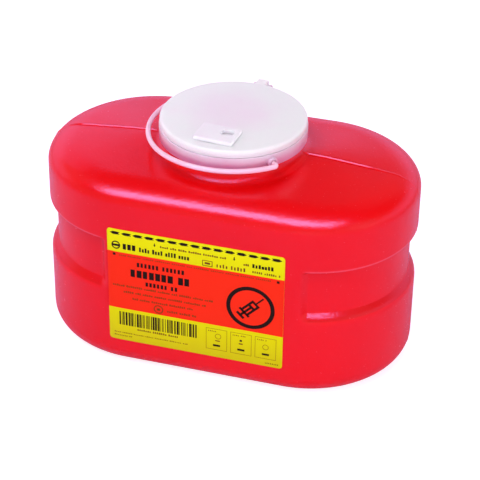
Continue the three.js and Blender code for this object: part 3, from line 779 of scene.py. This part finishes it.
def lock():
    """The block with its window, on a stem with a keeper above the collar's deck and a foot below it."""
    low = LID_TOP + 0.2
    high = low + LOCK_HEIGHT
    radius, edge = 1.4, 0.7
    levels = [(0.25, low), (0, low + 0.25), (0, high - edge)]
    for step in range(1, 6):
        turn = math.radians(18 * step)
        levels.append((edge * (1 - math.cos(turn)), high - edge * (1 - math.sin(turn))))
    rings = []
    for cut, height in levels:
        corners = rectangle((LOCK_ACROSS, LOCK_ALONG), LOCK_WIDTH / 2 - cut, LOCK_DEPTH / 2 - cut,
                            radius - cut)
        rings.append([(x, y, height) for x, y in filleted(corners, steps=6)])
    bm = bmesh.new()
    lofted(bm, rings)
    cap_turned(bm)
    made = finished(bm, "lock_block")
    window = rounded_box((LOCK_ACROSS + 5.5, LOCK_ALONG + 2.3), (7.5, 6.5), 1.2, low - 1, high + 1)
    combined(made, [window], "DIFFERENCE")
    place = (LOCK_ACROSS, STEM_ALONG)
    keeper_low = DECK_TOP + GAP
    tools = [rounded_box(place, (STEM_WIDTH, STEM_DEPTH), 0.4, 144.9, low + 0.5),
             rounded_box(place, (FOOT_SPAN, STEM_DEPTH), 0.4, 144.9, 146.1),
             rounded_box(place, (FOOT_SPAN, STEM_DEPTH), 0.4, keeper_low, keeper_low + 0.55)]
    return combined(made, tools, "UNION")


def handle():
    """One rod: a wide level half loop whose ends turn in to two pivot pegs."""
    peg_end = SKIRT_RADIUS - CAP_WALL + 0.5
    centre = HANDLE_HALF_SPAN - ROD_BEND
    route = [Vector((peg_end + run, 0, 0)) for run in (0, 1.6, 3)]
    for step in range(9):
        bend = math.radians(-90 + 90 * step / 8)
        route.append(Vector((centre + ROD_BEND * math.cos(bend),
                             -ROD_BEND - ROD_BEND * math.sin(bend), 0)))
    first = 4  # degrees of the loop that the bend takes
    power = 2 / HANDLE_POWER
    for step in range(1, 41):
        turn = math.radians(first + (90 - first) * step / 40)
        route.append(Vector((HANDLE_HALF_SPAN * math.cos(turn) ** power,
                             -HANDLE_REACH * math.sin(turn) ** power, 0)))
    route += [Vector((-point.x, point.y, 0)) for point in reversed(route[:-1])]
    steps = 20
    up = Vector((0, 0, 1))
    rings = []
    for i, point in enumerate(route):
        ahead = (route[min(i + 1, len(route) - 1)] - route[max(i - 1, 0)]).normalized()
        side = up.cross(ahead)
        ring = []
        for step in range(steps):
            angle = 2 * math.pi * step / steps
            ring.append(point + (side * math.cos(angle) + up * math.sin(angle)) * ROD_RADIUS)
        rings.append(ring)
    for end, step in ((0, 1), (-1, -1)):
        tip = [route[end] + (point - route[end]) * 0.75 for point in rings[end]]
        drawn = (route[end] - route[end + step]).normalized() * 0.35
        rings.insert(0 if end == 0 else len(rings), [point + drawn for point in tip])
    bm = bmesh.new()
    lofted(bm, rings)
    bmesh.ops.rotate(bm, verts=bm.verts, matrix=Matrix.Rotation(HANDLE_TURN, 3, "Z"))
    bmesh.ops.translate(bm, verts=bm.verts, vec=(0, 0, HANDLE_HEIGHT))
    return finished(bm, "handle_rod", sharp=60)


# ---- materials ----
def map_range(tree, low, high, to_low=0.0, to_high=1.0, smooth=False):
    node = tree.nodes.new("ShaderNodeMapRange")
    node.interpolation_type = "SMOOTHSTEP" if smooth else "LINEAR"
    limits = {"From Min": low, "From Max": high, "To Min": to_low, "To Max": to_high}
    for socket, number in limits.items():
        node.inputs[socket].default_value = number
    return node


def mix(tree, share, first, second):
    """The colour between first and second at share. A colour is a socket or three numbers."""
    node = tree.nodes.new("ShaderNodeMix")
    node.data_type = "RGBA"
    factor, colour_a, colour_b, result = node.inputs[0], node.inputs[6], node.inputs[7], node.outputs[2]
    tree.links.new(share, factor)
    for socket, value in ((colour_a, first), (colour_b, second)):
        if isinstance(value, bpy.types.NodeSocket):
            tree.links.new(value, socket)
        else:
            socket.default_value = (*value, 1)
    return result


class Look:
    """A Principled material with helpers for its nodes. Textures use the piece's own coordinates, in
    metres."""

    def __init__(self, name, **settings):
        self.material = bpy.data.materials.new(name)
        self.material.use_nodes = True
        self.tree = self.material.node_tree
        self.shader = self.tree.nodes["Principled BSDF"]
        for socket, value in settings.items():
            self.shader.inputs[socket.replace("_", " ")].default_value = value
        self.place = self.tree.nodes.new("ShaderNodeTexCoord").outputs["Object"]

    def feed(self, node, socket, value):
        if isinstance(value, bpy.types.NodeSocket):
            self.tree.links.new(value, node.inputs[socket])
        else:
            node.inputs[socket].default_value = value

    def noise(self, scale, detail=2.0):
        node = self.tree.nodes.new("ShaderNodeTexNoise")
        node.inputs["Scale"].default_value = scale
        node.inputs["Detail"].default_value = detail
        self.tree.links.new(self.place, node.inputs["Vector"])
        return node.outputs["Fac"]

    def ranged(self, value, low, high, to_low=0.0, to_high=1.0, smooth=False):
        node = map_range(self.tree, low, high, to_low, to_high, smooth)
        self.feed(node, "Value", value)
        return node.outputs["Result"]

    def mixed(self, share, first, second):
        return mix(self.tree, share, first, second)

    def maths(self, operation, first, second=0.0):
        node = self.tree.nodes.new("ShaderNodeMath")
        node.operation = operation
        self.feed(node, 0, first)
        self.feed(node, 1, second)
        return node.outputs[0]

    def axis(self, name):
        node = self.tree.nodes.new("ShaderNodeSeparateXYZ")
        self.tree.links.new(self.place, node.inputs["Vector"])
        return node.outputs[name]

    def near(self, value, centre, inner, outer, strength):
        """strength where the value is within inner of the centre, fading to nothing at outer."""
        away = self.maths("ABSOLUTE", self.maths("SUBTRACT", value, centre))
        return self.ranged(away, inner, outer, strength, 0)

    def distance(self, x, y):
        """Distance in the level plane from the upright line through (x, y), in metres."""
        flat = self.tree.nodes.new("ShaderNodeVectorMath")
        flat.operation = "MULTIPLY"
        flat.inputs[1].default_value = (1, 1, 0)
        self.tree.links.new(self.place, flat.inputs[0])
        apart = self.tree.nodes.new("ShaderNodeVectorMath")
        apart.operation = "DISTANCE"
        apart.inputs[1].default_value = (x, y, 0)
        self.tree.links.new(flat.outputs["Vector"], apart.inputs[0])
        return apart.outputs["Value"]

    def bump(self, *layers):
        """Bump from (height, depth in metres) layers."""
        normal = None
        for height, depth in layers:
            node = self.tree.nodes.new("ShaderNodeBump")
            node.inputs["Distance"].default_value = depth
            self.tree.links.new(height, node.inputs["Height"])
            if normal is not None:
                self.tree.links.new(normal, node.inputs["Normal"])
            normal = node.outputs["Normal"]
        self.tree.links.new(normal, self.shader.inputs["Normal"])

    def colour(self, value):
        self.feed(self.shader, "Base Color", value)

    def roughness(self, value):
        self.feed(self.shader, "Roughness", value)


def red_plastic():
    """Glossy red with a fine grain. Round the ends a painted highlight makes it paler along the grip
    recess's upper edge, and painted shade makes it deeper on its lower ledge."""
    look = Look("red_polypropylene", IOR=1.49, Specular_Tint=(1, 0.8, 1, 1))
    cloud = look.noise(9, 3)
    deep, bright, dull = (0.75, 0.0012, 0.0015), (0.84, 0.002, 0.0025), (0.66, 0.003, 0.004)
    # colours of a painted highlight on the recess's upper edge and of painted shade on its lower ledge
    edge_highlight_tone, ledge_shade_tone = (0.95, 0.2, 0.28), (0.68, 0.001, 0.001)
    edge_height, ledge_height = (WAIST_HIGH + 0.5) * MM, (WAIST_LOW + WAIST_FLOOR_LOW) / 2 * MM
    height = look.axis("Z")
    # where the painted highlight lies: a thin band just above the recess's upper edge
    edge = look.near(height, edge_height, 0.0003, 0.0009, 0.3)
    # where the painted shade lies: a band along the recess's lower ledge
    ledge = look.near(height, ledge_height, 0.0017, 0.0026, 0.9)
    along = look.maths("ABSOLUTE", look.axis("X"))
    ends = look.ranged(along, (END_CENTRE + 11) * MM, (END_CENTRE + 16) * MM)
    tone = look.mixed(look.ranged(cloud, 0.3, 0.7), deep, bright)
    # painted highlight, round the ends only
    tone = look.mixed(look.maths("MULTIPLY", edge, ends), tone, edge_highlight_tone)
    # painted shade, round the ends only
    tone = look.mixed(look.maths("MULTIPLY", ledge, ends), tone, ledge_shade_tone)
    look.colour(look.mixed(look.ranged(look.noise(420, 2), 0.2, 0.8, 0, 0.12), tone, dull))
    look.roughness(look.ranged(look.noise(700, 3), 0.25, 0.75, 0.2, 0.28))
    look.bump((cloud, 0.0009), (look.noise(170, 2), 0.00006), (look.noise(620, 2), 0.00013))
    return look.material


def cap_plastic(name, white, tinted, share_of):
    """Milky translucent plastic, tinted by what lies under it where share_of says, and on the lid paler
    along a painted highlight.
    """
    look = Look(name, IOR=1.49, Subsurface_Weight=0.6, Subsurface_Scale=0.003,
                Subsurface_Radius=(1, 0.8, 0.9))
    mottled = look.maths("ADD", share_of(look), look.ranged(look.noise(70, 3), 0.3, 0.7, -0.14, 0.14))
    tone = look.mixed(mottled, white, tinted)
    look.colour(look.mixed(look.ranged(look.noise(900, 2), 0.2, 0.8, 0, 0.05), tone, (0.6, 0.55, 0.6)))
    look.roughness(look.ranged(look.noise(300, 3), 0.25, 0.75, 0.3, 0.42))
    look.bump((look.noise(60, 2), 0.00012), (look.noise(900, 2), 0.00003))
    return look.material


def film(name, tone, worn, roughness):
    """A printed film or its ink, nearly without shine."""
    look = Look(name, IOR=1.5, Specular_IOR_Level=0.09)
    look.colour(look.mixed(look.ranged(look.noise(35, 4), 0.3, 0.75, 0, 0.35), tone, worn))
    look.roughness(look.ranged(look.noise(260, 3), 0.25, 0.75, roughness - 0.06, roughness + 0.06))
    look.bump((look.noise(40, 2), 0.0001), (look.noise(1300, 2), 0.000008))
    return look.material


def floor_paper():
    """Paper that glows for the camera only, which sees it white, as on a lit sweep. Its own lavender is
    what it throws up on the pieces."""
    look = Look("white_sweep", Roughness=0.9, Specular_IOR_Level=0.1, Emission_Color=(1, 1, 1, 1))
    cloud = look.ranged(look.noise(3, 3), 0.3, 0.7)
    look.colour(look.mixed(cloud, (0.66, 0.46, 0.72), (0.68, 0.48, 0.74)))
    seen = look.tree.nodes.new("ShaderNodeLightPath").outputs["Is Camera Ray"]
    look.feed(look.shader, "Emission Strength", look.ranged(seen, 0, 1, 0, 0.8))
    return look.material


def lid_share(look):
    """Pink over the throat and down the rim, with a painted highlight as a paler line along the rim's
    lower edge.
    """
    throat = (Matrix.Rotation(CAP_TURN, 2) @ Vector((0, THROAT_OFFSET))) * MM
    shift = 0.003  # the disc shows a little to the front and left of the throat
    away = look.distance(throat.x - shift, throat.y - shift)
    disc = look.ranged(away, 0.012, 0.036, 0.95, 0.0, smooth=True)
    height = look.axis("Z")
    rim = look.ranged(height, 0.1466, 0.1494, 0.75, 0.0, smooth=True)
    # painted highlight: a paler line along the rim's lower edge
    line = look.ranged(height, 0.1466, 0.1471, 1, 0, smooth=True)
    return look.maths("SUBTRACT", look.maths("MAXIMUM", disc, rim), line)


def collar_share(look):
    """Red from the shell that shows through, strongest at the skirt's lower edge."""
    return look.ranged(look.axis("Z"), 0.139, 0.1465, 1, 0.05, smooth=True)


def mottled_share(look):
    return look.ranged(look.noise(20, 2), 0.3, 0.7)


def handle_share(look):
    return look.ranged(look.noise(45, 2), 0.3, 0.7, 0, 0.6)


def in_orange_field(face):
    """Whether a face of the film is on its front and between the yellow bands."""
    behind_front = front_point(face.center.x / MM, 0, LABEL_LIFT * 2).y * MM
    between = BAND_LOW * MM < face.center.z < BAND_HIGH * MM
    return between and abs(face.normal.y) > 0.5 and face.center.y < behind_front


def paint(pieces):
    """Gives each piece its materials. The label's front is orange between its two yellow bands."""
    plain = cap_plastic("milky_plain", (0.85, 0.86, 0.86), (0.84, 0.78, 0.83), mottled_share)
    looks = {
        "shell_moulding": [red_plastic()],
        "label_film": [film("label_yellow", (0.73, 0.77, 0.001), (0.7, 0.73, 0.0018), 0.4),
                       film("label_orange", (0.9, 0.028, 0.006), (0.84, 0.03, 0.008), 0.4)],
        "label_ink_dark": [film("ink_dark", (0.012, 0.007, 0.004), (0.02, 0.012, 0.008), 0.45)],
        "label_ink_soft": [film("ink_soft", (0.16, 0.05, 0.006), (0.2, 0.065, 0.008), 0.45)],
        "collar_ring": [cap_plastic("milky_collar", (0.74, 0.62, 0.7), (0.66, 0.27, 0.43), collar_share)],
        "funnel_insert": [plain],
        "lid_disc": [cap_plastic("milky_lid", (0.86, 0.88, 0.86), (0.87, 0.77, 0.84), lid_share)],
        "hinge_rod": [plain],
        "lock_block": [plain],
        "handle_rod": [cap_plastic("milky_handle", (0.91, 0.63, 0.74), (0.87, 0.48, 0.61), handle_share)],
    }
    for piece in pieces:
        piece.data.materials.clear()
        for material in looks[piece.name]:
            piece.data.materials.append(material)
        if piece.name == "label_film":
            for face in piece.data.polygons:
                face.material_index = 1 if in_orange_field(face) else 0


# ---- assembly ----
def place_piece(piece, body, slot, *nodes):
    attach(piece, body)
    if nodes:
        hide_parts(*nodes)


def assemble():
    sheet = label_sheet()
    dark, soft = label_prints()
    pieces = [shell(), sheet, dark, soft, collar(), funnel(), lid(), hinge_pin(), lock(), handle()]
    paint(pieces)
    body, sheet, dark, soft, ring, insert, disc, pin, block, loop = pieces
    place_piece(body, "container", "red_shell", "body_shell")
    place_piece(sheet, "container", "label_sheet", "front_label")
    place_piece(dark, "container", "label_sheet")
    place_piece(soft, "container", "label_sheet")
    place_piece(ring, "container", "white_cap", "cap_collar")
    place_piece(insert, "container", "white_cap", "funnel_chute")
    place_piece(disc, "lid", "white_cap", "lid")
    place_piece(pin, "container", "white_cap", "lid_hinge_pin")
    place_piece(block, "lock", "white_cap", "lock_slide")
    place_piece(loop, "handle", "clear_handle", "carry_handle")


# ---- studio ----
def floor():
    bm = bmesh.new()
    bmesh.ops.create_grid(bm, x_segments=8, y_segments=8, size=6000)
    made = finished(bm, "floor")
    made.data.materials.append(floor_paper())


def area_light(name, place, aim, size, power, colour, lights=True, reflects=False):
    """A rectangle of light that points at the height aim on the part's axis. lights says whether it
    falls on surfaces, and reflects whether it shows in their reflections."""
    data = bpy.data.lights.new(name, "AREA")
    data.shape = "RECTANGLE"
    data.size, data.size_y = size
    data.energy = power
    data.color = colour
    light = bpy.data.objects.new(name, data)
    light.location = place
    light.rotation_euler = (Vector((0, 0, aim)) - Vector(place)).to_track_quat("-Z", "Y").to_euler()
    light.visible_glossy = reflects
    light.visible_diffuse = lights
    bpy.context.scene.collection.objects.link(light)


def surroundings():
    """Nearly white round the horizon and darker overhead, as in a studio with a dark ceiling. Reflections
    see it lavender towards the back and dark towards the front."""
    world = bpy.data.worlds.new("studio")
    bpy.context.scene.world = world
    world.use_nodes = True
    tree = world.node_tree
    split = tree.nodes.new("ShaderNodeSeparateXYZ")
    tree.links.new(tree.nodes.new("ShaderNodeTexCoord").outputs["Generated"], split.inputs["Vector"])
    strength = map_range(tree, 0.3, 0.5, 1.2, 0.08, smooth=True)
    tree.links.new(split.outputs["Z"], strength.inputs["Value"])
    backness = map_range(tree, -0.4, 0.3, smooth=True)
    tree.links.new(split.outputs["Y"], backness.inputs["Value"])
    dark_front, lavender_back = (0.12, 0.1, 0.12), (0.75, 0.52, 1)
    reflected = mix(tree, backness.outputs["Result"], dark_front, lavender_back)
    in_reflections = tree.nodes.new("ShaderNodeLightPath").outputs["Is Glossy Ray"]
    background = tree.nodes["Background"]
    tree.links.new(mix(tree, in_reflections, (1, 0.93, 1), reflected), background.inputs["Color"])
    tree.links.new(strength.outputs["Result"], background.inputs["Strength"])


def studio():
    bpy.context.scene.view_settings.view_transform = "Standard"
    surroundings()
    area_light("key", (-0.2, -0.75, 1.35), 0.1, (1.2, 0.5), 12, (1, 0.92, 1))
    area_light("sheen", (-0.05, -0.75, 1.35), 0.1, (1.75, 0.55), 46, (0.4, 0.52, 1), False, True)
    area_light("front", (0.4, -1.6, 0.25), 0.05, (1.2, 0.4), 4, (1, 0.94, 1))
    area_light("fill_right", (1.3, -0.5, 0.6), 0.08, (0.9, 0.9), 5.5, (1, 0.94, 1))
    area_light("fill_left", (-1.3, 0.1, 0.9), 0.08, (0.9, 0.9), 5, (1, 0.94, 1))
    area_light("fill_back", (0.3, 1, 1), 0.1, (0.9, 0.9), 5, (1, 0.94, 1))
    area_light("left_back", (-0.95, 0.95, 0.95), 0.1, (1.2, 0.8), 2.5, (0.8, 0.5, 1), True, True)


assemble()
floor()
studio()
